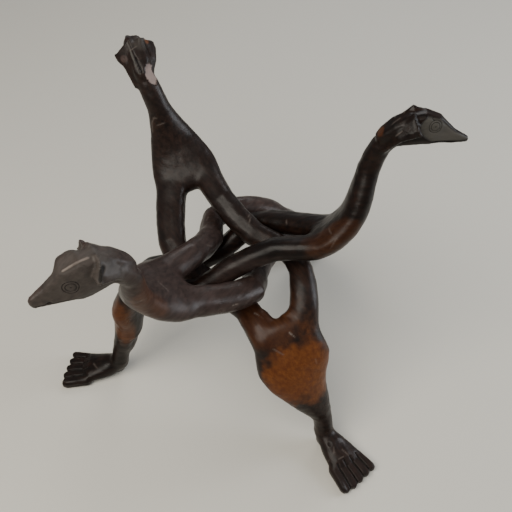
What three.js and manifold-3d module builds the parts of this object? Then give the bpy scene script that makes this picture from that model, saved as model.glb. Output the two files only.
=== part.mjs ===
// Interlocking three-legged stand, carved from dark hardwood.
// Three loose legs cross over one another. Each is a long neck with an animal head at its upper
// end, a flat body split by a slot, and a shank with a bare foot below. Every leg passes through
// the slot of the next, so none can be lifted out, and none is pinned or glued.
// Millimetres, +Z up, the floor at Z = 0 and the origin on the floor at the centre of the stand.

import * as THREE from "three";
import { mergeVertices } from "three/addons/utils/BufferGeometryUtils.js";
import Module from "manifold-3d";

const wasm = await Module();
wasm.setup();

// A leg is drawn in its own frame: first number outwards to the head, second across, third up.
// A station is one section of a limb: its centre, half its width and thickness, and the
// direction of its width.

// Directions of the width, from the level head and foot to the rolled middle of the board
const LEVEL = [0, -1, 0];
const ROLLED_LITTLE = [0, -0.97, 0.24];
const ROLLED = [-0.1, -0.92, 0.38];
const KNEE_ROLL = [-0.2, -0.94, 0.26];

// Neck, from inside the skull down to the shoulders where the slot begins
const NECK = [
  { at: [124, 3, 253], wide: 8, thick: 7.5, side: LEVEL },
  { at: [115, 4, 241], wide: 8.5, thick: 7.5, side: LEVEL },
  { at: [107, 2, 223], wide: 9.5, thick: 8.5, side: LEVEL },
  { at: [99, -3, 204], wide: 14.5, thick: 9, side: ROLLED_LITTLE },
  { at: [91, -4, 185], wide: 22, thick: 10, side: ROLLED },
  { at: [79, -4, 171], wide: 28, thick: 10.5, side: ROLLED },
  { at: [69, -2, 164], wide: 28, thick: 9, side: ROLLED },
];

// The two arms on either side of the slot, from the shoulders to the knee
const HIGH_ARM = [
  { at: [86, -14, 177], wide: 8, thick: 5, side: ROLLED },
  { at: [66, -17, 168], wide: 12, thick: 9, side: ROLLED },
  { at: [35, -14, 162.5], wide: 10.5, thick: 9, side: ROLLED },
  { at: [0, -22, 148], wide: 10.5, thick: 9, side: ROLLED },
  { at: [-24, -38, 141], wide: 9.5, thick: 9, side: ROLLED },
  { at: [-46, -36, 138], wide: 10, thick: 9, side: ROLLED },
  { at: [-70, -22, 124], wide: 11.5, thick: 9, side: KNEE_ROLL },
  { at: [-86, -13, 98], wide: 10, thick: 5, side: KNEE_ROLL },
];
const LOW_ARM = [
  { at: [90, 4, 174], wide: 8, thick: 5, side: ROLLED },
  { at: [75, 11, 162], wide: 13, thick: 9, side: ROLLED },
  { at: [46, 29, 149], wide: 12, thick: 9, side: ROLLED },
  { at: [18, 39, 139], wide: 11, thick: 9, side: ROLLED },
  { at: [-8, 24, 123], wide: 10.5, thick: 9, side: ROLLED },
  { at: [-40, 12, 116], wide: 10.5, thick: 9, side: ROLLED },
  { at: [-69, 13, 110], wide: 12, thick: 9, side: KNEE_ROLL },
  { at: [-86, 8, 90], wide: 10, thick: 5, side: KNEE_ROLL },
];

// Knee and shank, from the end of the slot to the ankle
const SHANK = [
  { at: [-71, -3, 116], wide: 24, thick: 8.5, side: KNEE_ROLL },
  { at: [-88, -1.5, 90], wide: 31, thick: 11, side: KNEE_ROLL },
  { at: [-98, -5, 68], wide: 20.5, thick: 11.5, side: LEVEL },
  { at: [-105, -11, 49], wide: 13.5, thick: 10.5, side: LEVEL },
  { at: [-112.5, -15, 33], wide: 8, thick: 8, side: LEVEL },
  { at: [-116, -15, 15], wide: 8, thick: 7.5, side: LEVEL },
];

// Foot, from the heel to the roots of the toes
const FOOT = [
  { at: [-119, -14, 8], wide: 7, thick: 8.5, side: LEVEL },
  { at: [-123, -15, 10], wide: 9.5, thick: 10, side: LEVEL },
  { at: [-134, -16, 8], wide: 13, thick: 8, side: LEVEL },
  { at: [-148, -17, 5.5], wide: 16, thick: 6.5, side: LEVEL },
];
const TOE_COUNT = 5;
const TOE_ROOT = { out: -145, across: -17, up: 4.5, spread: 12.5 };
const TOE_TIP = { out: -165, across: -17, up: 3.5, spread: 15 };
const TOE_HALF = { wide: 3.3, thick: 5 };
const BIG_TOE = { wider: 1.2, shorter: 1.5 };

// Head, from the back of the skull to the tip of the muzzle. A roof is the share by which a
// section is narrower at its top and wider at its bottom.
const HEAD = [
  { at: [116, 3, 249], wide: 7, thick: 7, roof: 0, side: LEVEL },
  { at: [124, 3, 254.5], wide: 9, thick: 9.5, roof: 0.1, side: LEVEL },
  { at: [133, 3, 258.3], wide: 9.2, thick: 11.8, roof: 0.15, side: LEVEL },
  { at: [141, 3, 259.2], wide: 8.6, thick: 12.2, roof: 0.15, side: LEVEL },
  { at: [149, 2.5, 257.7], wide: 7.7, thick: 10.7, roof: 0.25, side: LEVEL },
  { at: [154, 2, 255.6], wide: 6, thick: 8.2, roof: 0.35, side: LEVEL },
  { at: [162, 1, 253], wide: 4.4, thick: 4.8, roof: 0.3, side: LEVEL },
  { at: [171, 0.5, 250.6], wide: 2.3, thick: 2.4, roof: 0.1, side: LEVEL },
];

// Ears, flaps that slope down either side of the skull and end square at the front
const EAR_SLOPE = [0, 0.66, -0.75];
const EAR = [
  { at: [113, 8, 241], wide: 3.5, thick: 1.8, side: EAR_SLOPE },
  { at: [123, 10.5, 257.5], wide: 7, thick: 2.4, side: EAR_SLOPE },
  { at: [135.5, 12.8, 267], wide: 9.4, thick: 2.6, side: EAR_SLOPE },
];
const HEAD_MIDDLE = 3;

// The point about which a head turns, and the stretch outwards over which its jaw deepens
const NAPE = [112, 3, 240];
const JAW_REACH = [126, 141];

// The three legs as they stand, with how far each strays from the common pattern: the bearing
// of the leg, the turn, size and deeper jaw of its head, the bulge of its neck about a height, the
// shifts of head, low arm, knee and foot, and the side of its big toe
const LEGS = [
  {
    name: "leg_head_back",
    bearing: 123.5,
    middle: [-1, 2.5],
    head: { turn: -12, size: 1, jaw: 0 },
    neck: { height: 228, reach: 26, shift: [-4, -5, 0] },
    stray: { head: [1, 4, -5], low: [0, 0, 0], knee: [0, 0, 0], foot: [0, 0, 0] },
    bigToe: 1,
  },
  {
    name: "leg_head_right",
    bearing: -1,
    middle: [-1, -1.5],
    head: { turn: 0, size: 1, jaw: 0 },
    neck: { height: 235, reach: 20, shift: [-2, 0, 0] },
    stray: { head: [-6, 6, 4], low: [0, 0, 0], knee: [0, 0, -1], foot: [13, 0, 0] },
    bigToe: -1,
  },
  {
    name: "leg_head_left",
    bearing: 236,
    middle: [1, -1],
    head: { turn: -23, size: 1.08, jaw: 4 },
    neck: { height: 197, reach: 34, shift: [9, 1, -3] },
    stray: { head: [1, 0, -16], low: [3, -7, 0], knee: [-5, 12, 0], foot: [-20, -1, 0] },
    bigToe: 1,
  },
];

// Stretches over which a stray grows from nothing to its full measure: two of height and, for the
// knee, one outwards
const NECK_RISE = [172, 245];
const SHANK_FALL = [105, 40];
const KNEE_REACH = [-20, -80];

// How finely a limb is faceted, and how square its sections are: 2 is an ellipse
const BODY_FACETS = { sides: 16, ringsPerStation: 2, power: 2.2 };
const ARM_FACETS = { sides: 12, ringsPerStation: 2, power: 2.4 };
const SKULL_FACETS = { sides: 12, ringsPerStation: 1, power: 4 };
const TOE_FACETS = { sides: 8, ringsPerStation: 1, power: 2.5 };
const CAP_RINGS = 1;

// Middle of the stand's footprint, measured from where the three bearings meet
const FOOTPRINT_MIDDLE = [4.8, 16.6];

const FLOOR_BLOCK = { width: 900, depth: 60 };
const UP = new THREE.Vector3(0, 0, 1);
const WOOD = { color: 0x2a1c17, roughness: 0.5, metalness: 0 };

function solidOf(geometry) {
  geometry.deleteAttribute("normal");
  geometry.deleteAttribute("uv");
  const merged = mergeVertices(geometry);
  const vertProperties = new Float32Array(merged.attributes.position.array);
  const triVerts = new Uint32Array(merged.index.array);
  return new wasm.Manifold(new wasm.Mesh({ numProp: 3, vertProperties, triVerts }));
}

function geometryOf(solid) {
  const mesh = solid.getMesh();
  const geometry = new THREE.BufferGeometry();
  geometry.setAttribute("position", new THREE.BufferAttribute(mesh.vertProperties, 3));
  geometry.setIndex(new THREE.BufferAttribute(mesh.triVerts, 1));
  geometry.computeVertexNormals();
  return geometry;
}

function curveThrough(stations, pick) {
  return new THREE.CatmullRomCurve3(stations.map((station) => new THREE.Vector3(...pick(station))));
}

// Place on the rim of a superellipse of half sizes one
function rimPlace(turn, power) {
  const soften = (value) => Math.sign(value) * Math.abs(value) ** (2 / power);
  return [soften(Math.cos(turn)), soften(Math.sin(turn))];
}

// Sections of a limb at even steps along its stations, with rings that dome each end
function sectionsOf(stations, { ringsPerStation }, domed) {
  const path = curveThrough(stations, (station) => station.at);
  const size = curveThrough(stations, ({ wide, thick, roof }) => [wide, thick, roof ?? 0]);
  const side = curveThrough(stations, (station) => station.side);
  const section = (t, scale, shift) => {
    const along = path.getTangent(t);
    const across = side.getPoint(t);
    across.addScaledVector(along, -across.dot(along)).normalize();
    const face = new THREE.Vector3().crossVectors(along, across);
    const half = size.getPoint(t);
    const centre = path.getPoint(t).addScaledVector(along, shift * Math.min(half.x, half.y));
    return { centre, across, face, wide: half.x * scale, thick: half.y * scale, roof: half.z };
  };
  const steps = (stations.length - 1) * ringsPerStation;
  const rings = [];
  for (let k = 0; k <= steps; k += 1) {
    rings.push(section(k / steps, 1, 0));
  }
  for (let k = 1; k <= CAP_RINGS; k += 1) {
    const tilt = (k / (CAP_RINGS + 1)) * (Math.PI / 2);
    rings.unshift(section(0, Math.cos(tilt), -Math.sin(tilt)));
    if (domed) {
      rings.push(section(1, Math.cos(tilt), Math.sin(tilt)));
    }
  }
  const start = section(0, 1, -1).centre;
  const end = section(1, 1, domed ? 1 : 0).centre;
  return { rings, poles: [start, end] };
}

// A closed limb skinned over its stations
function limb(stations, facets, domed = true) {
  const { sides, power } = facets;
  const { rings, poles } = sectionsOf(stations, facets, domed);
  const positions = [];
  for (const ring of rings) {
    for (let j = 0; j < sides; j += 1) {
      const [u, v] = rimPlace(((j + 0.5) / sides) * Math.PI * 2, power);
      const point = ring.centre.clone();
      point.addScaledVector(ring.across, u * ring.wide * (1 + ring.roof * v));
      point.addScaledVector(ring.face, v * ring.thick);
      positions.push(point.x, point.y, point.z);
    }
  }
  for (const pole of poles) {
    positions.push(pole.x, pole.y, pole.z);
  }
  const index = [];
  const last = rings.length - 1;
  const startPole = rings.length * sides;
  for (let j = 0; j < sides; j += 1) {
    const next = (j + 1) % sides;
    for (let i = 0; i < last; i += 1) {
      const a = i * sides + j;
      const b = i * sides + next;
      index.push(a, b, b + sides, a, b + sides, a + sides);
    }
    index.push(startPole, next, j);
    index.push(startPole + 1, last * sides + j, last * sides + next);
  }
  const geometry = new THREE.BufferGeometry();
  geometry.setAttribute("position", new THREE.Float32BufferAttribute(positions, 3));
  geometry.setIndex(index);
  return solidOf(geometry);
}

function mirroredAcross(stations, middle) {
  const flip = ([out, across, up]) => [out, 2 * middle - across, up];
  const turn = ([out, across, up]) => [out, -across, up];
  return stations.map((station) => ({ ...station, at: flip(station.at), side: turn(station.side) }));
}

function shifted(stations, stray, weightOf) {
  return stations.map((station, k) => {
    const weight = weightOf(station, k);
    return { ...station, at: station.at.map((value, axis) => value + weight * stray[axis]) };
  });
}

function shiftedMidway(stations, stray) {
  return shifted(stations, stray, (station, k) => Math.sin((Math.PI * k) / (stations.length - 1)));
}

// Share of a stray at a station, rising smoothly over a stretch along an axis
function riseOver([from, to], axis = 2) {
  return (station) => {
    const share = THREE.MathUtils.clamp((station.at[axis] - from) / (to - from), 0, 1);
    return share * share * (3 - 2 * share);
  };
}

// The stations turned about the nape and grown from it, with the jaw let down
function posedHead(stations, { turn, size, jaw }) {
  const nape = new THREE.Vector3(...NAPE);
  const spin = new THREE.Quaternion().setFromAxisAngle(UP, THREE.MathUtils.degToRad(turn));
  return stations.map((station) => {
    const drop = jaw * riseOver(JAW_REACH, 0)(station);
    const at = new THREE.Vector3(...station.at).sub(nape);
    at.z -= drop / 2;
    at.multiplyScalar(size).applyQuaternion(spin).add(nape);
    const side = new THREE.Vector3(...station.side).applyQuaternion(spin);
    const grown = { wide: station.wide * size, thick: (station.thick + drop / 2) * size };
    return { ...station, at: at.toArray(), side: side.toArray(), ...grown };
  });
}

function toeStations(bigToe) {
  const middle = (TOE_COUNT - 1) / 2;
  const toes = [];
  for (let k = 0; k < TOE_COUNT; k += 1) {
    const share = (bigToe * (middle - k)) / middle;
    const isBig = k === 0;
    const wide = TOE_HALF.wide + (isBig ? BIG_TOE.wider : 0);
    const shorten = BIG_TOE.shorter * Math.abs(k - 1);
    const ends = [TOE_ROOT, TOE_TIP].map((end) => [end.out, end.across + share * end.spread, end.up]);
    ends[1][0] += shorten;
    toes.push(ends.map((at) => ({ at, wide, thick: TOE_HALF.thick, side: LEVEL })));
  }
  return toes;
}

function floorBlock() {
  const { width, depth } = FLOOR_BLOCK;
  const block = new THREE.BoxGeometry(width, width, depth);
  block.translate(0, 0, -depth / 2);
  return solidOf(block);
}

// The stations shifted most at one height and not at all beyond its reach
function bulged(stations, { height, reach, shift }) {
  return shifted(stations, shift, (station) => {
    const share = THREE.MathUtils.clamp((station.at[2] - height) / reach, -1, 1);
    return (1 + Math.cos(Math.PI * share)) / 2;
  });
}

function legSolid({ head, neck, stray, bigToe }) {
  const raised = (stations) => shifted(stations, stray.head, riseOver(NECK_RISE));
  const headed = (stations) => raised(posedHead(stations, head));
  const kneed = (stations) => shifted(stations, stray.knee, riseOver(KNEE_REACH, 0));
  const footShift = stray.foot.map((value, axis) => value - stray.knee[axis]);
  const lowered = (stations) => shifted(kneed(stations), footShift, riseOver(SHANK_FALL));
  const pieces = [
    limb(bulged(raised(NECK), neck), BODY_FACETS),
    limb(kneed(HIGH_ARM), ARM_FACETS),
    limb(kneed(shiftedMidway(LOW_ARM, stray.low)), ARM_FACETS),
    limb(lowered(SHANK), BODY_FACETS),
    limb(lowered(FOOT), BODY_FACETS),
    limb(headed(HEAD), SKULL_FACETS),
    limb(headed(EAR), TOE_FACETS, false),
    limb(headed(mirroredAcross(EAR, HEAD_MIDDLE)), TOE_FACETS, false),
    ...toeStations(bigToe).map((stations) => limb(lowered(stations), TOE_FACETS)),
  ];
  return pieces.reduce((whole, piece) => whole.add(piece)).subtract(floorBlock());
}

const stand = new THREE.Group();
for (const leg of LEGS) {
  const mesh = new THREE.Mesh(geometryOf(legSolid(leg)), new THREE.MeshStandardMaterial(WOOD));
  mesh.name = leg.name;
  mesh.rotation.z = THREE.MathUtils.degToRad(leg.bearing);
  mesh.position.set(leg.middle[0] - FOOTPRINT_MIDDLE[0], leg.middle[1] - FOOTPRINT_MIDDLE[1], 0);
  stand.add(mesh);
}

export default stand;
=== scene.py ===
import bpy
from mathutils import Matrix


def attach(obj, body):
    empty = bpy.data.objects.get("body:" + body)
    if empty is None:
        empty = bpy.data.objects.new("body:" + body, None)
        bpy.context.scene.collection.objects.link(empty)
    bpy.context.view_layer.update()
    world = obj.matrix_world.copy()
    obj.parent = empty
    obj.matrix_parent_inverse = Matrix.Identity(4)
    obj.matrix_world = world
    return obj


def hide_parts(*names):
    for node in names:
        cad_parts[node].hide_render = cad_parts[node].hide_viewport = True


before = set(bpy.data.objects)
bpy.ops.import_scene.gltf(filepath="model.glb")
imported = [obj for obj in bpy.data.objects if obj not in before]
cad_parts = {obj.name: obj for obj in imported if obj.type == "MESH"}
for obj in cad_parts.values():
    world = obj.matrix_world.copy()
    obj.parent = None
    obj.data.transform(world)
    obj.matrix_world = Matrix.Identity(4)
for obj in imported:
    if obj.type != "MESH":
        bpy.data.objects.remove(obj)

"""Looks of an interlocking stand: three loose legs carved from dark, hand-rubbed hardwood.

Each leg is the CAD solid remeshed fine, with its limbs run into one another, and then carved: the
planes, eyes and ears of the head, the toes, tool marks, chips and scratches. Lengths are
millimetres, in the leg's frame of outwards, across and up, or in the frame that the three heads
share. The finished meshes are in metres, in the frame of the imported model.
"""

import logging
import math
from dataclasses import dataclass, field
from enum import Enum

import bpy
import numpy as np
from mathutils import Euler, Vector

LOG = logging.getLogger("stand")
Path = tuple[tuple[float, float, float], ...]
Colour = tuple[float, float, float]

METRES = 0.001
FOOTPRINT_MIDDLE = (4.8, 16.6)
SLOT = "dark_wood"
BODY = "root"
GRAIN = "grain"
NAPE = np.array([112.0, 3.0, 240.0])
HEAD_MIDDLE = 3.0


class Mark(Enum):
    """Shares that the carving leaves on the surface for the finish, painted shade and sheen among them.
    """

    WORN = "worn"
    # Painted grey sheen on flat planes and raised ridges.
    GREY_SHEEN = "grey"
    BARE = "bare"
    SCORE = "score"
    # Painted shade in hollows, pockets, slits and cut lines.
    PAINTED_SHADE = "painted_shade"
    # Paleness of the leg's own patina and wear, and on convex edges partly a painted highlight.
    PALE = "pale"


class Side(Enum):
    """Sides of a leg, seen from its foot towards its head's heading."""

    LEFT = 1
    RIGHT = -1


def ease(values: np.ndarray, low: float, high: float) -> np.ndarray:
    """Share from 0 at low to 1 at high, eased at both ends."""
    share = np.clip((values - low) / (high - low), 0.0, 1.0)
    return share * share * (3.0 - 2.0 * share)


def turned(points: np.ndarray, degrees: float) -> np.ndarray:
    """Points or directions turned about Z by that many degrees."""
    angle = math.radians(degrees)
    cosine, sine = math.cos(angle), math.sin(angle)
    x, y, z = points.T
    return np.stack([cosine * x - sine * y, sine * x + cosine * y, z], axis=1)


def value_noise(points: np.ndarray, size: float, seed: int) -> np.ndarray:
    """Smooth noise from -1 to 1.

    Args:
        points: Places, one row each.
        size: Distance between the noise's knots.
        seed: Picks one noise among many.

    Returns:
        One value for each point.
    """
    grid = points / size + seed * 17.31
    cell = np.floor(grid).astype(np.int64)
    share = grid - cell
    share = share * share * (3.0 - 2.0 * share)
    total = np.zeros(len(points))
    for corner in range(8):
        step = np.array([corner & 1, corner >> 1 & 1, corner >> 2 & 1])
        key = (cell + step) @ np.array([73856093, 19349663, 83492791]) + seed * 2654435
        key = (key ^ (key >> 13)) * 1274126177
        knot = ((key ^ (key >> 16)) & 0xFFFF) / 32767.5 - 1.0
        total += np.where(step, share, 1.0 - share).prod(axis=1) * knot
    return total


def line_distance(points: np.ndarray, path: Path) -> np.ndarray:
    """Shortest distance from each point to a path of straight stretches."""
    best = np.full(len(points), np.inf)
    for start, end in zip(path[:-1], path[1:]):
        a, b = np.array(start), np.array(end)
        along = np.clip(((points - a) @ (b - a)) / ((b - a) @ (b - a)), 0.0, 1.0)
        best = np.minimum(best, np.linalg.norm(points - a - along[:, None] * (b - a), axis=1))
    return best


@dataclass(frozen=True)
class HeadPose:
    """How one leg's head is turned, sized and moved from the pattern that the heads share."""

    turn: float
    size: float
    stray: tuple[float, float, float]


@dataclass(frozen=True)
class LegPlace:
    """Where one leg stands, with the pose of its head and foot."""

    bearing: float
    middle: tuple[float, float]
    head: HeadPose
    foot_stray: tuple[float, float, float]
    big_toe: Side

    def origin(self) -> np.ndarray:
        """The leg's origin in the row frame."""
        return np.array([*self.middle, 0.0]) - np.array([*FOOTPRINT_MIDDLE, 0.0])

    def to_leg(self, points: np.ndarray) -> np.ndarray:
        """Row-frame points in the leg's frame."""
        return turned(points - self.origin(), -self.bearing)

    def to_row(self, points: np.ndarray) -> np.ndarray:
        """Leg-frame points in the row frame."""
        return turned(points, self.bearing) + self.origin()


@dataclass
class Carving:
    """The mesh of one leg as arrays in the leg's frame, with the tools that cut it.

    Fields:
        place: Where the leg stands.
        points: Vertex places.
        normals: Vertex normals.
        hollow: How hollow the surface is at each vertex, in millimetres.
        marks: Shares from 0 to 1 for the finish, one value a vertex.
    """

    place: LegPlace
    points: np.ndarray
    normals: np.ndarray
    hollow: np.ndarray
    marks: dict[Mark, np.ndarray] = field(default_factory=dict)

    def head(self) -> np.ndarray:
        """The points in the frame that the heads share."""
        pose = self.place.head
        back = turned(self.points - np.array(pose.stray) - NAPE, -pose.turn)
        return back / pose.size + NAPE

    def head_normals(self) -> np.ndarray:
        """The normals in the frame that the heads share."""
        return turned(self.normals, -self.place.head.turn)

    def sink(self, depth: np.ndarray) -> None:
        """Moves each point inwards along its normal by its own depth."""
        self.points = self.points - self.normals * depth[:, None]

    def nudge(self, at: np.ndarray, reach: float, shift: tuple[float, float, float]) -> None:
        """Pulls the surface round a place of the head, as clay under a thumb.

        Args:
            at: Distance of each point from the place.
            reach: Distance at which the pull has died away.
            shift: The pull in the head's frame.
        """
        pull = turned(np.array([shift]), self.place.head.turn)[0]
        self.points = self.points + (1.0 - ease(at, 0.0, reach))[:, None] * pull

    def groove(self, away: np.ndarray, half_width: float, depth: float) -> np.ndarray:
        """Cuts a rounded groove where the distance to its path is small.

        Args:
            away: Distance of each point from the path.
            half_width: Half the groove's width.
            depth: The groove's depth.

        Returns:
            Share of the full depth at each point.
        """
        share = np.exp(-((away / half_width) ** 2))
        self.sink(depth * share)
        return share

    def mark(self, name: Mark, share: np.ndarray) -> None:
        """Raises a mark to at least the share given."""
        held = self.marks.get(name, np.zeros(len(self.points)))
        self.marks[name] = np.maximum(held, np.clip(share, 0.0, 1.0))


class LegMesh:
    """A fine mesh made from a CAD node, kept as a Blender object."""

    def __init__(self, node: str, place: LegPlace, voxel: float) -> None:
        """Copies the node and remeshes the copy.

        Args:
            node: Name of the CAD node.
            place: Where the leg stands.
            voxel: Size of the remesh.
        """
        self.place = place
        self.piece = bpy.data.objects.new(node + "_carved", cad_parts[node].data.copy())
        bpy.context.scene.collection.objects.link(self.piece)
        self.select()
        bpy.ops.object.mode_set(mode="EDIT")
        bpy.ops.mesh.select_all(action="SELECT")
        bpy.ops.mesh.remove_doubles(threshold=1e-6)
        bpy.ops.object.mode_set(mode="OBJECT")
        remesh = self.piece.modifiers.new("fine", "REMESH")
        remesh.mode = "VOXEL"
        remesh.voxel_size = voxel * METRES
        bpy.ops.object.modifier_apply(modifier=remesh.name)

    def select(self) -> None:
        """Selects the piece alone and makes it active."""
        bpy.ops.object.select_all(action="DESELECT")
        self.piece.select_set(True)
        bpy.context.view_layer.objects.active = self.piece

    def points(self) -> np.ndarray:
        """Vertex places in the leg's frame."""
        values = np.empty(len(self.piece.data.vertices) * 3)
        self.piece.data.vertices.foreach_get("co", values)
        return self.place.to_leg(values.reshape(-1, 3) / METRES)

    def write(self, points: np.ndarray) -> None:
        """Puts leg-frame vertex places back in the mesh."""
        row = self.place.to_row(points) * METRES
        self.piece.data.vertices.foreach_set("co", row.ravel())
        self.piece.data.update()

    def means(self, values: np.ndarray) -> np.ndarray:
        """Mean of a value, one row a vertex, over each vertex's neighbours."""
        edges = np.empty(len(self.piece.data.edges) * 2, np.int32)
        self.piece.data.edges.foreach_get("vertices", edges)
        ends = np.concatenate([edges[0::2], edges[1::2]])
        others = np.concatenate([edges[1::2], edges[0::2]])
        count = np.bincount(ends, minlength=len(values))
        columns = [np.bincount(ends, values[others, k], len(values)) for k in range(values.shape[1])]
        return np.stack(columns, axis=1) / count[:, None]

    def run_together(self, rounds: int, weight: np.ndarray) -> None:
        """Evens out creases while keeping thickness.

        Args:
            rounds: How many pairs of shrinking and growing steps are made.
            weight: Share of each step that a vertex takes.
        """
        points = self.points()
        for _ in range(rounds):
            for step in (0.5, -0.515):
                points = points + (self.means(points) - points) * step * weight[:, None]
        self.write(points)

    def even_out(self, rounds: int, weight: np.ndarray, loss: float) -> None:
        """Runs broad bumps together and makes up for the thickness that this costs.

        Args:
            rounds: How many steps are made.
            weight: Share of each step that a vertex takes.
            loss: Thickness to be made up on each face.
        """
        points = self.points()
        for _ in range(rounds):
            points = points + (self.means(points) - points) * 0.5 * weight[:, None]
        self.write(points)
        swollen = self.carving()
        self.write(swollen.points + swollen.normals * (loss * weight)[:, None])

    def refine(self, chosen: np.ndarray) -> None:
        """Splits into quarters the faces whose vertices are all chosen."""
        self.select()
        bpy.ops.object.mode_set(mode="EDIT")
        bpy.ops.mesh.select_all(action="DESELECT")
        bpy.ops.mesh.select_mode(type="VERT")
        bpy.ops.object.mode_set(mode="OBJECT")
        self.piece.data.vertices.foreach_set("select", chosen)
        bpy.ops.object.mode_set(mode="EDIT")
        bpy.ops.mesh.select_mode(type="FACE")
        bpy.ops.mesh.subdivide(number_cuts=1)
        bpy.ops.object.mode_set(mode="OBJECT")

    def carving(self) -> Carving:
        """The mesh as arrays in the leg's frame."""
        normals = np.empty(len(self.piece.data.vertices) * 3, np.float32)
        self.piece.data.vertex_normals.foreach_get("vector", normals)
        normals = turned(normals.reshape(-1, 3).astype(float), -self.place.bearing)
        points = self.points()
        wide = points
        for _ in range(6):
            wide = self.means(wide)
        return Carving(self.place, points, normals, ((wide - points) * normals).sum(axis=1))

    def take(self, carving: Carving) -> None:
        """Puts a carving's points and marks back in the mesh."""
        self.write(carving.points)
        mesh = self.piece.data
        for name in Mark:
            share = carving.marks.get(name, np.zeros(len(carving.points)))
            held = mesh.attributes.new(name.value, "FLOAT", "POINT")
            held.data.foreach_set("value", share.astype(np.float32))
        grain = mesh.attributes.new(GRAIN, "FLOAT_VECTOR", "POINT")
        grain.data.foreach_set("vector", (carving.points * METRES).astype(np.float32).ravel())


@dataclass(frozen=True)
class Eye:
    """An eye of two incised rings round a pupil, cut in both sides of a head."""

    out: float = 148.0
    up: float = 262.8
    rings: tuple[float, float] = (4.4, 3.0)
    pupil: float = 0.65
    line: float = 0.26
    depth: float = 0.5


@dataclass(frozen=True)
class Head:
    """The carving of one head, in the frame that the heads share.

    Fields:
        eye: The eyes.
        softness: How far the head's own edges are evened.
        greyness: How strong the painted grey sheen on the flat of the face is.
        step_depth: How far the face lies below the cheek.
        step_middle: Out and up of the foremost reach of the cheek's curved edge.
        step_bow: How fast that edge runs forward above and below its middle.
        mouth_up: Height of the mouth line.
        pocket: Path of the pocket in front of the left ear; the right one mirrors it.
        nudges: Places, reaches and shifts of pulls peculiar to this head.
    """

    eye: Eye = Eye()
    softness: float = 0.10
    greyness: float = 1.0
    step_depth: float = 0.9
    step_middle: tuple[float, float] = (136.8, 262.5)
    step_bow: float = 0.085
    mouth_up: float = 250.8
    pocket: Path = ((134.4, 12.2, 268.2), (135.4, 14.6, 265.0), (134.8, 18.0, 261.0))
    nudges: tuple[tuple[Path, float, tuple[float, float, float]], ...] = ()

    def refine(self, mesh: LegMesh) -> None:
        """Gives the head a finer mesh, and the eyes a finer one still."""
        mesh.refine(mesh.carving().head()[:, 0] > 118.0)
        head = mesh.carving().head()
        near = np.hypot(head[:, 0] - self.eye.out, head[:, 2] - self.eye.up)
        mesh.refine((near < self.eye.rings[0] + 1.5) & (np.abs(head[:, 1] - HEAD_MIDDLE) > 2.5))

    def carve(self, carving: Carving) -> None:
        """Cuts the whole head."""
        for path, reach, shift in self.nudges:
            carving.nudge(line_distance(carving.head(), path), reach, shift)
        self.cut_face(carving)
        self.cut_mouth(carving)
        self.cut_pockets(carving)
        self.cut_eyes(carving)

    def sideways(self, carving: Carving) -> np.ndarray:
        """Share by which the surface faces to a side of the head."""
        return ease(np.abs(carving.head_normals()[:, 1]), 0.3, 0.65)

    def cut_face(self, carving: Carving) -> None:
        """Sinks the face in front of the cheek's curved edge, paints a grey sheen on its flat and shade
        along the edge.
        """
        head = carving.head()
        edge = self.step_middle[0] + self.step_bow * (head[:, 2] - self.step_middle[1]) ** 2
        front = ease(head[:, 0] - edge, -0.35, 0.35) * self.sideways(carving)
        fade = 1.0 - ease(head[:, 0], 158.0, 168.0)
        carving.sink(self.step_depth * front * fade)
        # Painted grey sheen on the flat of the face.
        flat = front * ease(head[:, 2], self.mouth_up - 1.0, self.mouth_up + 0.5)
        carving.mark(Mark.GREY_SHEEN, self.greyness * flat)
        # Painted shade along the foot of the cheek's edge.
        lip = np.exp(-(((head[:, 0] - edge - 0.3) / 0.45) ** 2)) * self.sideways(carving)
        lip = lip * (head[:, 0] < 152.0) * (head[:, 0] > 120.0)
        carving.mark(Mark.PAINTED_SHADE, min(0.8 * self.step_depth, 0.7) * lip)

    def cut_mouth(self, carving: Carving) -> None:
        """Cuts the mouth line, with a bevel below it, and paints shade in the line."""
        head = carving.head()
        run = ease(head[:, 0], 145.0, 150.0) * self.sideways(carving)
        line = np.exp(-(((head[:, 2] - self.mouth_up) / 0.45) ** 2)) * run
        below = ease(self.mouth_up - head[:, 2], 0.0, 2.5) * run
        carving.sink(0.5 * line + 0.9 * below)
        # Painted shade in the mouth line.
        carving.mark(Mark.PAINTED_SHADE, 0.8 * line)

    def cut_pockets(self, carving: Carving) -> None:
        """Hollows the cheek under the front edge of each ear and paints shade in the hollow."""
        head = carving.head()
        for side in Side:
            beside = head.copy()
            beside[:, 1] = HEAD_MIDDLE + side.value * (head[:, 1] - HEAD_MIDDLE)
            share = np.exp(-((line_distance(beside, self.pocket) / 1.6) ** 2))
            share = share * ease(side.value * carving.head_normals()[:, 1], 0.1, 0.5)
            carving.sink(1.4 * share)
            # Painted shade in the pocket.
            carving.mark(Mark.PAINTED_SHADE, share)

    def cut_eyes(self, carving: Carving) -> None:
        """Cuts two rings and a pupil on either side and paints shade in them."""
        head = carving.head()
        radius = np.hypot(head[:, 0] - self.eye.out, head[:, 2] - self.eye.up)
        depth = np.exp(-((radius / self.eye.pupil) ** 2))
        for ring in self.eye.rings:
            depth = np.maximum(depth, np.exp(-(((radius - ring) / self.eye.line) ** 2)))
        depth = depth * self.sideways(carving)
        carving.sink(self.eye.depth * depth)
        # Painted shade in the rings and pupil.
        carving.mark(Mark.PAINTED_SHADE, 0.8 * depth)


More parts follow.
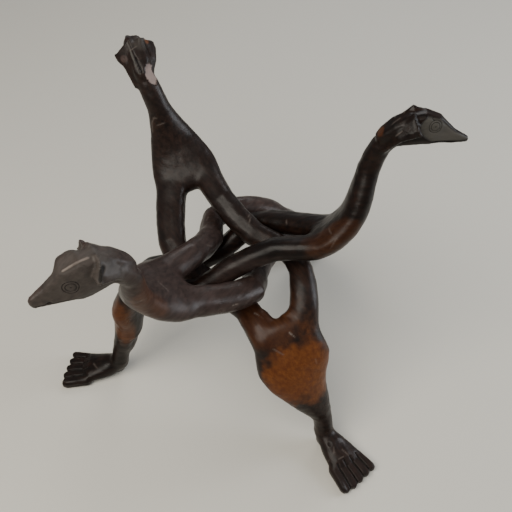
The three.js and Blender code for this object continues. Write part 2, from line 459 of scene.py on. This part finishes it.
@dataclass(frozen=True)
class Foot:
    """The slits between the toes of one foot, as if cut with a saw."""

    toes: int = 5
    middle: float = -17.0
    root: tuple[float, float, float] = (-146.0, 12.5, 10.0)
    tip: tuple[float, float, float] = (-168.0, 15.2, 3.0)

    def refine(self, mesh: LegMesh) -> None:
        """Gives the toes a finer mesh."""
        out = mesh.points()[:, 0] - mesh.place.foot_stray[0]
        mesh.refine(out < -142.0)

    def carve(self, carving: Carving) -> None:
        """Levels the toes' tops to one fan, cuts the slits and paints shade in them."""
        stray = np.array(carving.place.foot_stray)
        self.level(carving, stray)
        for gap in range(self.toes - 1):
            share = carving.place.big_toe.value * (self.toes / 2 - 1 - gap) * 2 / (self.toes - 1)
            path = tuple(
                tuple(np.array([out, self.middle + share * spread, up]) + stray)
                for out, spread, up in (self.root, self.tip)
            )
            flat = carving.points.copy()
            flat[:, 2] = np.interp(flat[:, 0] - stray[0], (self.tip[0], self.root[0]), (3.0, 10.0))
            cut = np.exp(-((line_distance(flat, path) / 0.55) ** 2))
            above = ease(carving.normals[:, 2], -0.4, 0.2)
            carving.points[:, 2] -= 1.8 * cut * above
            # Painted shade in the slits.
            carving.mark(Mark.PAINTED_SHADE, 0.9 * cut * above)

    def level(self, carving: Carving, stray: np.ndarray) -> None:
        """Brings the toes and the furrows between them to one crowned fan."""
        out, across, up = (carving.points - stray).T
        crown = np.interp(out, (-170.0, -166.0, -158.0, -142.0), (3.0, 6.2, 8.3, 9.6))
        spread = np.interp(-out, (-self.root[0], -self.tip[0]), (self.root[1], self.tip[1]))
        inside = 1.0 - ease(np.abs(across - self.middle), spread - 0.5, spread + 2.0)
        change = np.clip(crown - up, -1.6, 5.0) * inside * ease(carving.normals[:, 2], 0.05, 0.5)
        carving.points[:, 2] += change * ease(-out, 143.0, 151.0)


@dataclass(frozen=True)
class Scar:
    """A groove or chip peculiar to one leg, along a path in the leg's frame."""

    path: Path
    half_width: float
    depth: float
    mark: Mark
    strength: float = 1.0

    def carve(self, carving: Carving) -> None:
        """Cuts the scar and marks it; a shade mark paints shade into the groove, a grey sheen mark a
        painted sheen on the ridge.
        """
        share = carving.groove(line_distance(carving.points, self.path), self.half_width, self.depth)
        carving.mark(self.mark, self.strength * ease(share, 0.2, 0.6))


@dataclass(frozen=True)
class Fill:
    """Wood left standing in a corner of a slot, out from the wall that faces a direction."""

    path: Path
    reach: float
    shift: tuple[float, float, float]

    def carve(self, carving: Carving) -> None:
        """Moves the wall near the path into the slot."""
        shift = np.array(self.shift)
        facing = ease(carving.normals @ (shift / np.linalg.norm(shift)), 0.1, 0.6)
        share = facing * (1.0 - ease(line_distance(carving.points, self.path), 0.0, self.reach))
        carving.points = carving.points + share[:, None] * shift


@dataclass(frozen=True)
class Chip:
    """A flat flake lost from the surface, bare wood inside a crisp rim."""

    middle: tuple[float, float, float]
    facing: tuple[float, float, float]
    axis: tuple[float, float, float]
    half_length: float
    half_width: float
    depth: float

    def carve(self, carving: Carving) -> None:
        """Cuts the chip's flat and marks it bare."""
        facing = np.array(self.facing) / np.linalg.norm(self.facing)
        axis = np.array(self.axis) - facing * (np.array(self.axis) @ facing)
        axis /= np.linalg.norm(axis)
        offset = carving.points - np.array(self.middle)
        along = offset @ axis / self.half_length
        beside = offset @ np.cross(facing, axis) / self.half_width
        height = offset @ facing + self.depth
        ragged = 0.12 * value_noise(carving.points, 2.5, 31)
        inside = (np.hypot(along, beside) + ragged < 1.0) & (np.abs(height) < 6.0)
        inside &= carving.normals @ facing > 0.2
        cut = inside & (height > 0.0)
        carving.points = carving.points - np.where(cut, height, 0.0)[:, None] * facing
        rim = 1.0 - ease(np.hypot(along, beside) + ragged, 0.9, 1.0)
        carving.mark(Mark.BARE, rim * inside * (height > -0.3))


@dataclass(frozen=True)
class WearAndSheen:
    """A patch a ball's reach on one face of the leg: wear rubbed by hands and floors, and with the grey
    mark a painted sheen.
    """

    at: tuple[float, float, float]
    reach: tuple[float, float, float]
    mark: Mark
    strength: float = 1.0
    facing: tuple[float, float, float] = (0.0, 0.0, 0.0)

    def carve(self, carving: Carving) -> None:
        """Marks the patch with a ragged edge."""
        offset = (carving.points - np.array(self.at)) / np.array(self.reach)
        ragged = 0.22 * value_noise(carving.points, 9.0, 41) + 0.12 * value_noise(
            carving.points, 3.5, 43
        )
        share = 1.0 - ease(np.linalg.norm(offset, axis=1) + ragged, 0.65, 1.1)
        if any(self.facing):
            share = share * ease(carving.normals @ np.array(self.facing), -0.1, 0.4)
        carving.mark(self.mark, self.strength * share)


@dataclass
class CarvedLeg:
    """One leg of the stand.

    Fields:
        node: Name of the CAD node that the piece replaces.
        place: Where the leg stands.
        head: The carving of its head.
        seed: Picks this leg's tool marks and scratches.
        pale: How far the whole leg's patina is rubbed pale.
        details: Scars, fills, chips, worn patches and patches of painted sheen peculiar to the leg.
        foot: The carving of its foot.
        voxel: Size of the fine mesh.
        scratches: How many light scratches it has.
        roof: Height that nothing of the leg passes.
    """

    node: str
    place: LegPlace
    head: Head
    seed: int
    pale: float
    details: tuple[Scar | Fill | Chip | WearAndSheen, ...]
    foot: Foot = Foot()
    voxel: float = 1.05
    scratches: int = 46
    roof: float = 276.5

    def build(self) -> bpy.types.Object:
        """Makes the fine mesh, blends its limbs and carves it.

        Returns:
            The finished piece, riding on the body and standing for its node.
        """
        mesh = LegMesh(self.node, self.place, self.voxel)
        mesh.run_together(90, self.blend_weight(mesh.carving()))
        mesh.even_out(90, self.board_weight(mesh.carving()), 1.2)
        self.head.refine(mesh)
        self.foot.refine(mesh)
        carving = mesh.carving()
        self.mark_hollows(carving)
        self.leave_tool_marks(carving)
        self.cut_calf(carving)
        self.head.carve(carving)
        self.foot.carve(carving)
        for detail in self.details:
            detail.carve(carving)
        self.scratch(carving)
        self.mark_patina(carving)
        carving.points[:, 2] = np.clip(carving.points[:, 2], 0.05, self.roof)
        mesh.take(carving)
        mesh.select()
        bpy.ops.object.shade_smooth()
        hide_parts(self.node)
        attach(mesh.piece, BODY)
        LOG.info("%s: %d faces", mesh.piece.name, len(mesh.piece.data.polygons))
        return mesh.piece

    def blend_weight(self, carving: Carving) -> np.ndarray:
        """How much each vertex is evened: fully on the body, little on head and toes."""
        out, _, up = carving.points.T
        out = out - self.place.foot_stray[0] * (up < 20.0)
        on_head = ease(carving.head()[:, 0], 114.0, 126.0) * (up > 150.0)
        body = ease(up, 20.0, 34.0) * (1.0 - on_head)
        foot = (1.0 - ease(up, 20.0, 34.0)) * ease(out, -150.0, -138.0)
        return np.clip(body + self.head.softness * on_head + 0.5 * foot, 0.04, 1.0)

    def board_weight(self, carving: Carving) -> np.ndarray:
        """Where the leg is a broad board, the calf, knee and shoulders, or a bare ankle."""
        out, _, up = carving.points.T
        calf = ease(-out, 46.0, 62.0) * ease(up, 34.0, 46.0)
        ankle = ease(-out, 92.0, 100.0) * ease(130.0 + out, 0.0, 8.0) * ease(up, 5.0, 14.0)
        shoulders = ease(out, 52.0, 64.0) * (1.0 - ease(up, 205.0, 222.0)) * (up > 120.0)
        return np.maximum(np.maximum(calf, 0.5 * ankle), 0.6 * shoulders)

    def mark_hollows(self, carving: Carving) -> None:
        """Paints shade into hollows, and paleness along convex edges that is partly rubbed wear, partly
        a painted highlight.
        """
        # Painted shade in the hollows.
        carving.mark(Mark.PAINTED_SHADE, 0.7 * ease(carving.hollow, 0.15, 0.8))
        # Paleness on convex edges: rubbed wear and a painted highlight.
        off_head = 1.0 - ease(carving.head()[:, 0], 114.0, 124.0)
        carving.mark(Mark.PALE, (0.1 + 0.25 * off_head) * ease(-carving.hollow, 0.2, 0.7))

    def leave_tool_marks(self, carving: Carving) -> None:
        """Leaves the faint flats and waves of a knife on the surface."""
        grain = carving.points * np.array([0.55, 1.0, 1.0])
        broad = value_noise(carving.points, 17.0, self.seed)
        flats = np.abs(value_noise(grain, 6.5, self.seed + 1))
        fine = value_noise(grain, 2.4, self.seed + 2)
        carving.sink(0.30 * broad + 0.30 * flats + 0.05 * fine)

    def cut_calf(self, carving: Carving) -> None:
        """Ends the calf in a small ledge above the ankle, on the side of the stand's middle."""
        _, _, up = carving.points.T
        ledge = ease(57.5 - up, 0.0, 2.0) * (1.0 - ease(50.0 - up, 0.0, 14.0))
        inner = ease(carving.normals[:, 0], 0.15, 0.7) * (carving.points[:, 0] < -60.0)
        carving.sink(2.2 * ledge * inner)

    def scratch(self, carving: Carving) -> None:
        """Draws light scratches at random over the leg."""
        random = np.random.default_rng(self.seed)
        depth = np.zeros(len(carving.points))
        for _ in range(self.scratches):
            start = random.integers(len(carving.points))
            run = np.cross(carving.normals[start], random.normal(size=3))
            run *= random.uniform(1.5, 5.0) / np.linalg.norm(run)
            middle = carving.points[start]
            path = (tuple(middle - run), tuple(middle + run))
            depth = np.maximum(depth, np.exp(-((line_distance(carving.points, path) / 0.45) ** 2)))
        depth = depth * (1.0 - ease(carving.head()[:, 0], 126.0, 134.0))
        carving.sink(0.12 * depth)
        carving.mark(Mark.SCORE, 0.5 * depth)

    def mark_patina(self, carving: Carving) -> None:
        """Spreads the leg's own paleness in broad, uneven clouds."""
        cloud = 0.5 + 0.5 * value_noise(carving.points, 30.0, self.seed + 5)
        carving.mark(Mark.PALE, self.pale * (0.75 + 0.5 * cloud))


@dataclass(frozen=True)
class DarkWood:
    """Hand-rubbed hardwood: near black, brown where worn, with a painted grey sheen on cut planes and
    painted shade in hollows.

    Fields:
        deep, brown, pale, rust, amber, grey, bare, score and the painted shade colour: Colours, linear;
        grey is a painted sheen.
        roughness: Lowest and highest roughness over the surface.
        specular: Strength of the sheen.
    """

    deep: Colour = (0.0040, 0.0023, 0.0016)
    brown: Colour = (0.022, 0.0098, 0.0058)
    pale: Colour = (0.070, 0.046, 0.040)
    rust: Colour = (0.090, 0.026, 0.0075)
    amber: Colour = (0.165, 0.056, 0.012)
    grey: Colour = (0.072, 0.067, 0.059)
    bare: Colour = (0.260, 0.200, 0.180)
    score: Colour = (0.170, 0.140, 0.120)
    painted_shade_colour: Colour = (0.005, 0.004, 0.0035)
    roughness: tuple[float, float] = (0.26, 0.48)
    specular: float = 0.20

    def material(self, name: str) -> bpy.types.Material:
        """Builds the material from the piece's own marks and its grain.

        Args:
            name: Name of the new material.

        Returns:
            The material.
        """
        material = bpy.data.materials.new(name)
        material.use_nodes = True
        nodes = Nodes(material.node_tree)
        place = nodes.attribute(GRAIN, "Vector")
        along = nodes.stretched(place, (0.22, 1.0, 1.0))
        cloud = nodes.ramp(nodes.noise(place, 26.0, 6.0), 0.35, 0.65)
        streaks = nodes.ramp(nodes.noise(along, 330.0, 5.0), 0.35, 0.68)
        mottle = nodes.ramp(nodes.noise(place, 170.0, 6.0), 0.38, 0.66)
        base = nodes.mix(nodes.product(cloud, streaks), self.deep, self.brown)
        worn = nodes.mix(nodes.product(streaks, cloud, 0.45), self.rust, self.amber)
        layers = (
            # Pale is partly a painted highlight on convex edges, grey a painted sheen, and the last
            # layer painted shade.
            (Mark.PALE, self.pale, streaks, 0.45),
            (Mark.WORN, worn, mottle, 0.88),
            (Mark.GREY_SHEEN, self.grey, streaks, 0.70),
            (Mark.BARE, self.bare, streaks, 0.85),
            (Mark.SCORE, self.score, mottle, 0.50),
            (Mark.PAINTED_SHADE, self.painted_shade_colour, mottle, 0.85),
        )
        for mark, shade, break_up, least in layers:
            share = nodes.product(nodes.attribute(mark.value, "Fac"), break_up, least)
            base = nodes.mix(share, base, shade)
        nodes.tree.links.new(base, nodes.shader.inputs["Base Color"])
        rough = nodes.ramp(nodes.noise(place, 60.0, 5.0), 0.3, 0.7, self.roughness)
        for mark, dull in ((Mark.GREY_SHEEN, 0.55), (Mark.BARE, 0.75), (Mark.PAINTED_SHADE, 0.70)):
            rough = nodes.blend(nodes.attribute(mark.value, "Fac"), rough, dull)
        nodes.tree.links.new(rough, nodes.shader.inputs["Roughness"])
        nodes.shader.inputs["Specular IOR Level"].default_value = self.specular
        nodes.bump(streaks, 0.22, 0.0003)
        return material


class Nodes:
    """Short names for the node graph of one material."""

    def __init__(self, tree: bpy.types.NodeTree) -> None:
        """Keeps the tree and finds its shader."""
        self.tree = tree
        self.shader = tree.nodes["Principled BSDF"]

    def attribute(self, name: str, output: str) -> bpy.types.NodeSocket:
        """An attribute of the piece."""
        node = self.tree.nodes.new("ShaderNodeAttribute")
        node.attribute_name = name
        return node.outputs[output]

    def stretched(
        self, place: bpy.types.NodeSocket, scale: tuple[float, float, float]
    ) -> bpy.types.NodeSocket:
        """A place scaled along each axis."""
        node = self.tree.nodes.new("ShaderNodeMapping")
        node.inputs["Scale"].default_value = scale
        self.tree.links.new(place, node.inputs["Vector"])
        return node.outputs["Vector"]

    def noise(self, place: bpy.types.NodeSocket, scale: float, detail: float) -> bpy.types.NodeSocket:
        """A noise of that scale and detail."""
        node = self.tree.nodes.new("ShaderNodeTexNoise")
        node.inputs["Scale"].default_value = scale
        node.inputs["Detail"].default_value = detail
        node.inputs["Roughness"].default_value = 0.62
        self.tree.links.new(place, node.inputs["Vector"])
        return node.outputs["Fac"]

    def ramp(
        self,
        value: bpy.types.NodeSocket,
        low: float,
        high: float,
        ends: tuple[float, float] = (0.0, 1.0),
    ) -> bpy.types.NodeSocket:
        """The value stretched so that low and high give the two ends."""
        node = self.tree.nodes.new("ShaderNodeMapRange")
        node.inputs["From Min"].default_value = low
        node.inputs["From Max"].default_value = high
        node.inputs["To Min"].default_value, node.inputs["To Max"].default_value = ends
        self.tree.links.new(value, node.inputs["Value"])
        return node.outputs["Result"]

    def product(
        self, first: bpy.types.NodeSocket, second: bpy.types.NodeSocket, least: float = 0.0
    ) -> bpy.types.NodeSocket:
        """The first times the second, the second never counting for less than least."""
        node = self.tree.nodes.new("ShaderNodeMath")
        node.operation = "MULTIPLY"
        self.tree.links.new(first, node.inputs[0])
        self.tree.links.new(self.ramp(second, 0.0, 1.0, (least, 1.0)), node.inputs[1])
        return node.outputs[0]

    def mix(
        self,
        share: bpy.types.NodeSocket,
        first: bpy.types.NodeSocket | Colour,
        second: bpy.types.NodeSocket | Colour,
    ) -> bpy.types.NodeSocket:
        """Two colours mixed by a share."""
        node = self.tree.nodes.new("ShaderNodeMix")
        node.data_type = "RGBA"
        self.tree.links.new(share, node.inputs["Factor"])
        for value, socket in ((first, node.inputs[6]), (second, node.inputs[7])):
            if isinstance(value, tuple):
                socket.default_value = (*value, 1.0)
            else:
                self.tree.links.new(value, socket)
        return node.outputs[2]

    def blend(
        self, share: bpy.types.NodeSocket, first: bpy.types.NodeSocket, second: float
    ) -> bpy.types.NodeSocket:
        """A value drawn towards a number by a share."""
        node = self.tree.nodes.new("ShaderNodeMix")
        self.tree.links.new(share, node.inputs["Factor"])
        self.tree.links.new(first, node.inputs["A"])
        node.inputs["B"].default_value = second
        return node.outputs["Result"]

    def bump(self, height: bpy.types.NodeSocket, strength: float, distance: float) -> None:
        """Fine relief on the shader."""
        node = self.tree.nodes.new("ShaderNodeBump")
        node.inputs["Strength"].default_value = strength
        node.inputs["Distance"].default_value = distance
        self.tree.links.new(height, node.inputs["Height"])
        self.tree.links.new(node.outputs["Normal"], self.shader.inputs["Normal"])


@dataclass(frozen=True)
class Lamp:
    """A square light aimed at the middle of the stand.

    Fields:
        name: Name of the light.
        place: Where it hangs, in metres.
        size: Its side, in metres.
        power: Its power in watts.
        colour: Colour of its light.
        sheen: Strength of its highlights.
    """

    name: str
    place: tuple[float, float, float]
    size: float
    power: float
    colour: Colour = (1.0, 1.0, 1.0)
    sheen: float = 1.0

    def hang(self) -> None:
        """Adds the light to the scene."""
        data = bpy.data.lights.new(self.name, "AREA")
        data.size = self.size
        data.energy = self.power
        data.color = self.colour
        data.specular_factor = self.sheen
        light = bpy.data.objects.new(self.name, data)
        bpy.context.scene.collection.objects.link(light)
        light.location = self.place
        aim = Vector((0.0, 0.0, 0.12)) - Vector(self.place)
        light.rotation_euler = aim.to_track_quat("-Z", "Y").to_euler()


@dataclass
class Studio:
    """Floor, lights and camera.

    Fields:
        camera_place: Where the camera stands, in metres.
        camera_drop: How far the camera looks below level, in degrees.
        lens: Focal length for a sensor of 36 mm.
        floor_size: Side of the square floor, in metres.
        floor_colour: Colour of the floor, linear.
        sky: Colour and strength of the light from all round.
        lamps: A low window at the right, and soft fill from the back and the front.
    """

    camera_place: tuple[float, float, float] = (0.0140, -0.4395, 0.585)
    camera_drop: float = 46.6
    lens: float = 53.86
    floor_size: float = 8.0
    floor_colour: Colour = (0.62, 0.595, 0.53)
    sky: tuple[Colour, float] = ((0.93, 0.95, 1.0), 0.27)
    lamps: tuple[Lamp, ...] = (
        Lamp("window", (1.25, 0.15, 0.50), 0.7, 12.0, (0.88, 0.94, 1.0), 1.6),
        Lamp("back", (0.25, 1.05, 1.0), 0.6, 4.0),
        Lamp("front", (-0.40, -0.50, 1.0), 0.8, 13.0, (1.0, 0.95, 0.85), 0.15),
    )

    def build(self) -> None:
        """Makes the floor, lights and camera."""
        self.lay_floor()
        self.hang_lights()
        self.set_camera()

    def lay_floor(self) -> None:
        """Lays a pale plain floor."""
        bpy.ops.object.select_all(action="DESELECT")
        bpy.ops.mesh.primitive_plane_add(size=self.floor_size, location=(0.0, 0.0, 0.0))
        floor = bpy.context.active_object
        floor.name = "studio_floor"
        material = bpy.data.materials.new("pale_floor")
        material.use_nodes = True
        shader = material.node_tree.nodes["Principled BSDF"]
        shader.inputs["Base Color"].default_value = (*self.floor_colour, 1.0)
        shader.inputs["Roughness"].default_value = 0.7
        floor.data.materials.append(material)

    def hang_lights(self) -> None:
        """Hangs the lamps, under a pale sky."""
        world = bpy.data.worlds.new("studio_world")
        bpy.context.scene.world = world
        world.use_nodes = True
        background = world.node_tree.nodes["Background"]
        background.inputs["Color"].default_value = (*self.sky[0], 1.0)
        background.inputs["Strength"].default_value = self.sky[1]
        for lamp in self.lamps:
            lamp.hang()

    def set_camera(self) -> None:
        """Sets the camera, looking along +Y and down."""
        data = bpy.data.cameras.new("camera")
        data.sensor_width = 36.0
        data.lens = self.lens
        data.clip_start = 0.01
        camera = bpy.data.objects.new("camera", data)
        bpy.context.scene.collection.objects.link(camera)
        camera.location = self.camera_place
        camera.rotation_euler = Euler((math.radians(90.0 - self.camera_drop), 0.0, 0.0))
        bpy.context.scene.camera = camera


def back_leg() -> CarvedLeg:
    """The leg whose head points away: chipped nape, grooved crown, calf rubbed to amber."""
    place = LegPlace(
        123.5, (-1.0, 2.5), HeadPose(-12.0, 1.0, (1.0, 4.0, -5.0)), (0.0, 0.0, 0.0), Side.LEFT
    )
    head = Head(
        softness=0.3,
        greyness=0.35,
        step_depth=0.7,
        nudges=(
            (((135.0, 18.0, 260.5), (134.0, 17.0, 261.5)), 15.0, (-3.0, 0.0, -3.5)),
            (((158.0, 2.0, 262.0), (150.0, 2.5, 266.0)), 18.0, (-2.5, 0.0, -3.0)),
            (((130.0, -12.0, 261.0), (122.0, -9.0, 256.0)), 8.0, (0.0, -1.6, 0.0)),
        ),
    )
    details = (
        # Grooves on the crown with painted shade, beside a raised ridge with a painted grey sheen.
        Scar(((132.1, 7.5, 266.5), (122.4, 8.2, 258.8), (113.1, 8.1, 249.2)), 0.6, 1.4, Mark.PAINTED_SHADE),
        Scar(((132.6, 9.3, 265.5), (122.6, 10.0, 257.6), (113.4, 9.9, 248.0)), 0.8, -0.4, Mark.GREY_SHEEN),
        Scar(((130.5, -4.6, 263.5), (120.5, -3.6, 252.5)), 0.8, 1.6, Mark.PAINTED_SHADE),
        # Painted grey sheen on the crown.
        WearAndSheen((130.5, 0.5, 266.0), (9.0, 8.0, 9.0), Mark.GREY_SHEEN, 0.35),
        WearAndSheen((130.5, -7.0, 264.5), (3.5, 2.4, 4.0), Mark.WORN, 1.0),
        WearAndSheen((129.0, 15.0, 255.0), (4.5, 3.5, 4.0), Mark.PALE, 0.9),
        Chip((112.0, 0.6, 245.5), (-0.72, -0.38, 0.58), (0.5, -0.2, 0.85), 9.0, 5.6, 1.0),
        WearAndSheen((-96.0, -2.0, 88.0), (26.0, 36.0, 32.0), Mark.WORN, 1.0, (-0.9, 0.0, 0.35)),
        WearAndSheen((-60.0, 3.0, 118.0), (30.0, 40.0, 20.0), Mark.WORN, 0.35, (-0.5, 0.0, 0.8)),
        Fill(((-57.0, 7.5, 124.0), (-57.0, 7.5, 100.0)), 10.0, (2.0, -3.0, 0.0)),
        Fill(((-66.5, -6.5, 124.0), (-66.5, -6.5, 100.0)), 10.0, (2.0, 3.0, 0.0)),
        Scar(((-79.5, -1.0, 119.8), (-86.1, -6.4, 113.5), (-77.1, -4.9, 122.3)), 0.5, 0.3, Mark.SCORE),
        Scar(((-52.0, 12.0, 124.0), (-61.0, 8.3, 121.9)), 0.5, 0.25, Mark.SCORE, 0.8),
        # A nick with painted shade.
        Scar(((-130.0, -10.2, 17.3), (-131.0, -10.6, 17.0)), 1.0, 1.2, Mark.PAINTED_SHADE, 0.7),
    )
    return CarvedLeg("leg_head_back", place, head, 11, 0.15, details)


def right_leg() -> CarvedLeg:
    """The leg whose head points right: nearly black, with a painted grey sheen on its flat face."""
    place = LegPlace(
        -1.0, (-1.0, -1.5), HeadPose(0.0, 1.0, (-6.0, 6.0, 4.0)), (13.0, 0.0, 0.0), Side.RIGHT
    )
    head = Head(nudges=((((135.0, 8.5, 271.0), (134.5, 8.0, 270.0)), 6.0, (1.2, 0.5, 1.2)),))
    small_ring = tuple(
        (140.8 + 1.4 * math.cos(turn), 4.6 + 0.5 * math.sin(turn), 272.6 + 1.4 * math.sin(turn))
        for turn in np.linspace(0.0, 2.0 * math.pi, 13)
    )
    details = (
        # A small ring with painted shade.
        Scar(small_ring, 0.35, 0.5, Mark.PAINTED_SHADE),
        WearAndSheen((-92.0, -24.0, 82.0), (16.0, 12.0, 34.0), Mark.WORN, 0.7, (-0.5, -0.8, 0.0)),
        WearAndSheen((106.0, 8.5, 258.5), (4.5, 5.0, 4.0), Mark.WORN, 0.5),
        WearAndSheen((82.0, -24.0, 182.0), (30.0, 14.0, 26.0), Mark.WORN, 0.22),
        WearAndSheen((20.0, -32.0, 150.0), (40.0, 14.0, 18.0), Mark.PALE, 0.35),
    )
    return CarvedLeg("leg_head_right", place, head, 23, 0.0, details)


def left_leg() -> CarvedLeg:
    """The leg whose head points left: rubbed pale all over, deep-jawed, with a nicked beak."""
    place = LegPlace(
        236.0, (1.0, -1.0), HeadPose(-23.0, 1.08, (1.0, 0.0, -16.0)), (-20.0, -1.0, 0.0), Side.LEFT
    )
    head = Head(
        eye=Eye(out=150.5, up=257.0, rings=(4.4, 2.9)),
        softness=0.14,
        greyness=0.45,
        step_depth=0.2,
        mouth_up=247.0,
        nudges=(
            (((149.5, -3.5, 267.5), (146.0, -4.5, 269.0)), 9.0, (0.3, -3.6, 1.8)),
            (((136.0, -12.5, 261.0), (135.5, -11.0, 263.0)), 6.0, (-2.5, -0.5, 2.5)),
            (((136.0, -12.5, 267.5), (134.5, -11.5, 269.0)), 5.0, (2.5, -0.5, 2.0)),
        ),
    )
    details = (
        # Painted grey sheen over the head.
        WearAndSheen((150.0, -4.0, 244.0), (34.0, 26.0, 26.0), Mark.GREY_SHEEN, 0.5),
        WearAndSheen((108.0, 13.0, 200.0), (26.0, 12.0, 26.0), Mark.WORN, 0.3, (0.3, 0.8, -0.3)),
        Scar(((153.7, -11.0, 254.3), (146.9, -7.0, 256.9), (139.1, -3.9, 256.9)), 0.8, -0.4, Mark.SCORE),
        Scar(((40.0, 40.0, 147.5), (50.0, 35.0, 150.5)), 0.5, 0.2, Mark.SCORE, 0.8),
        Scar(((30.0, 44.0, 143.0), (41.0, 41.0, 146.0)), 0.4, 0.2, Mark.SCORE, 0.6),
        # A nick under the beak and the pocket, with painted shade.
        Scar(((164.5, -16.5, 232.5), (165.5, -17.5, 232.0)), 1.2, 1.4, Mark.PAINTED_SHADE, 0.6),
        Scar(((137.5, 5.5, 252.5), (141.0, 7.0, 251.5), (143.5, 7.6, 248.5)), 1.8, 1.2, Mark.PAINTED_SHADE),
    )
    return CarvedLeg(
        "leg_head_left", place, head, 37, 0.6, details, voxel=1.12, scratches=80
    )


def main() -> None:
    """Builds the stand and its studio, and reports each piece."""
    logging.basicConfig(level=logging.INFO, format="%(message)s")
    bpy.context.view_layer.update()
    Studio().build()
    wood = DarkWood().material(SLOT)
    for leg in (back_leg(), right_leg(), left_leg()):
        piece = leg.build()
        piece.data.materials.clear()
        piece.data.materials.append(wood)


if __name__ == "__main__":
    main()
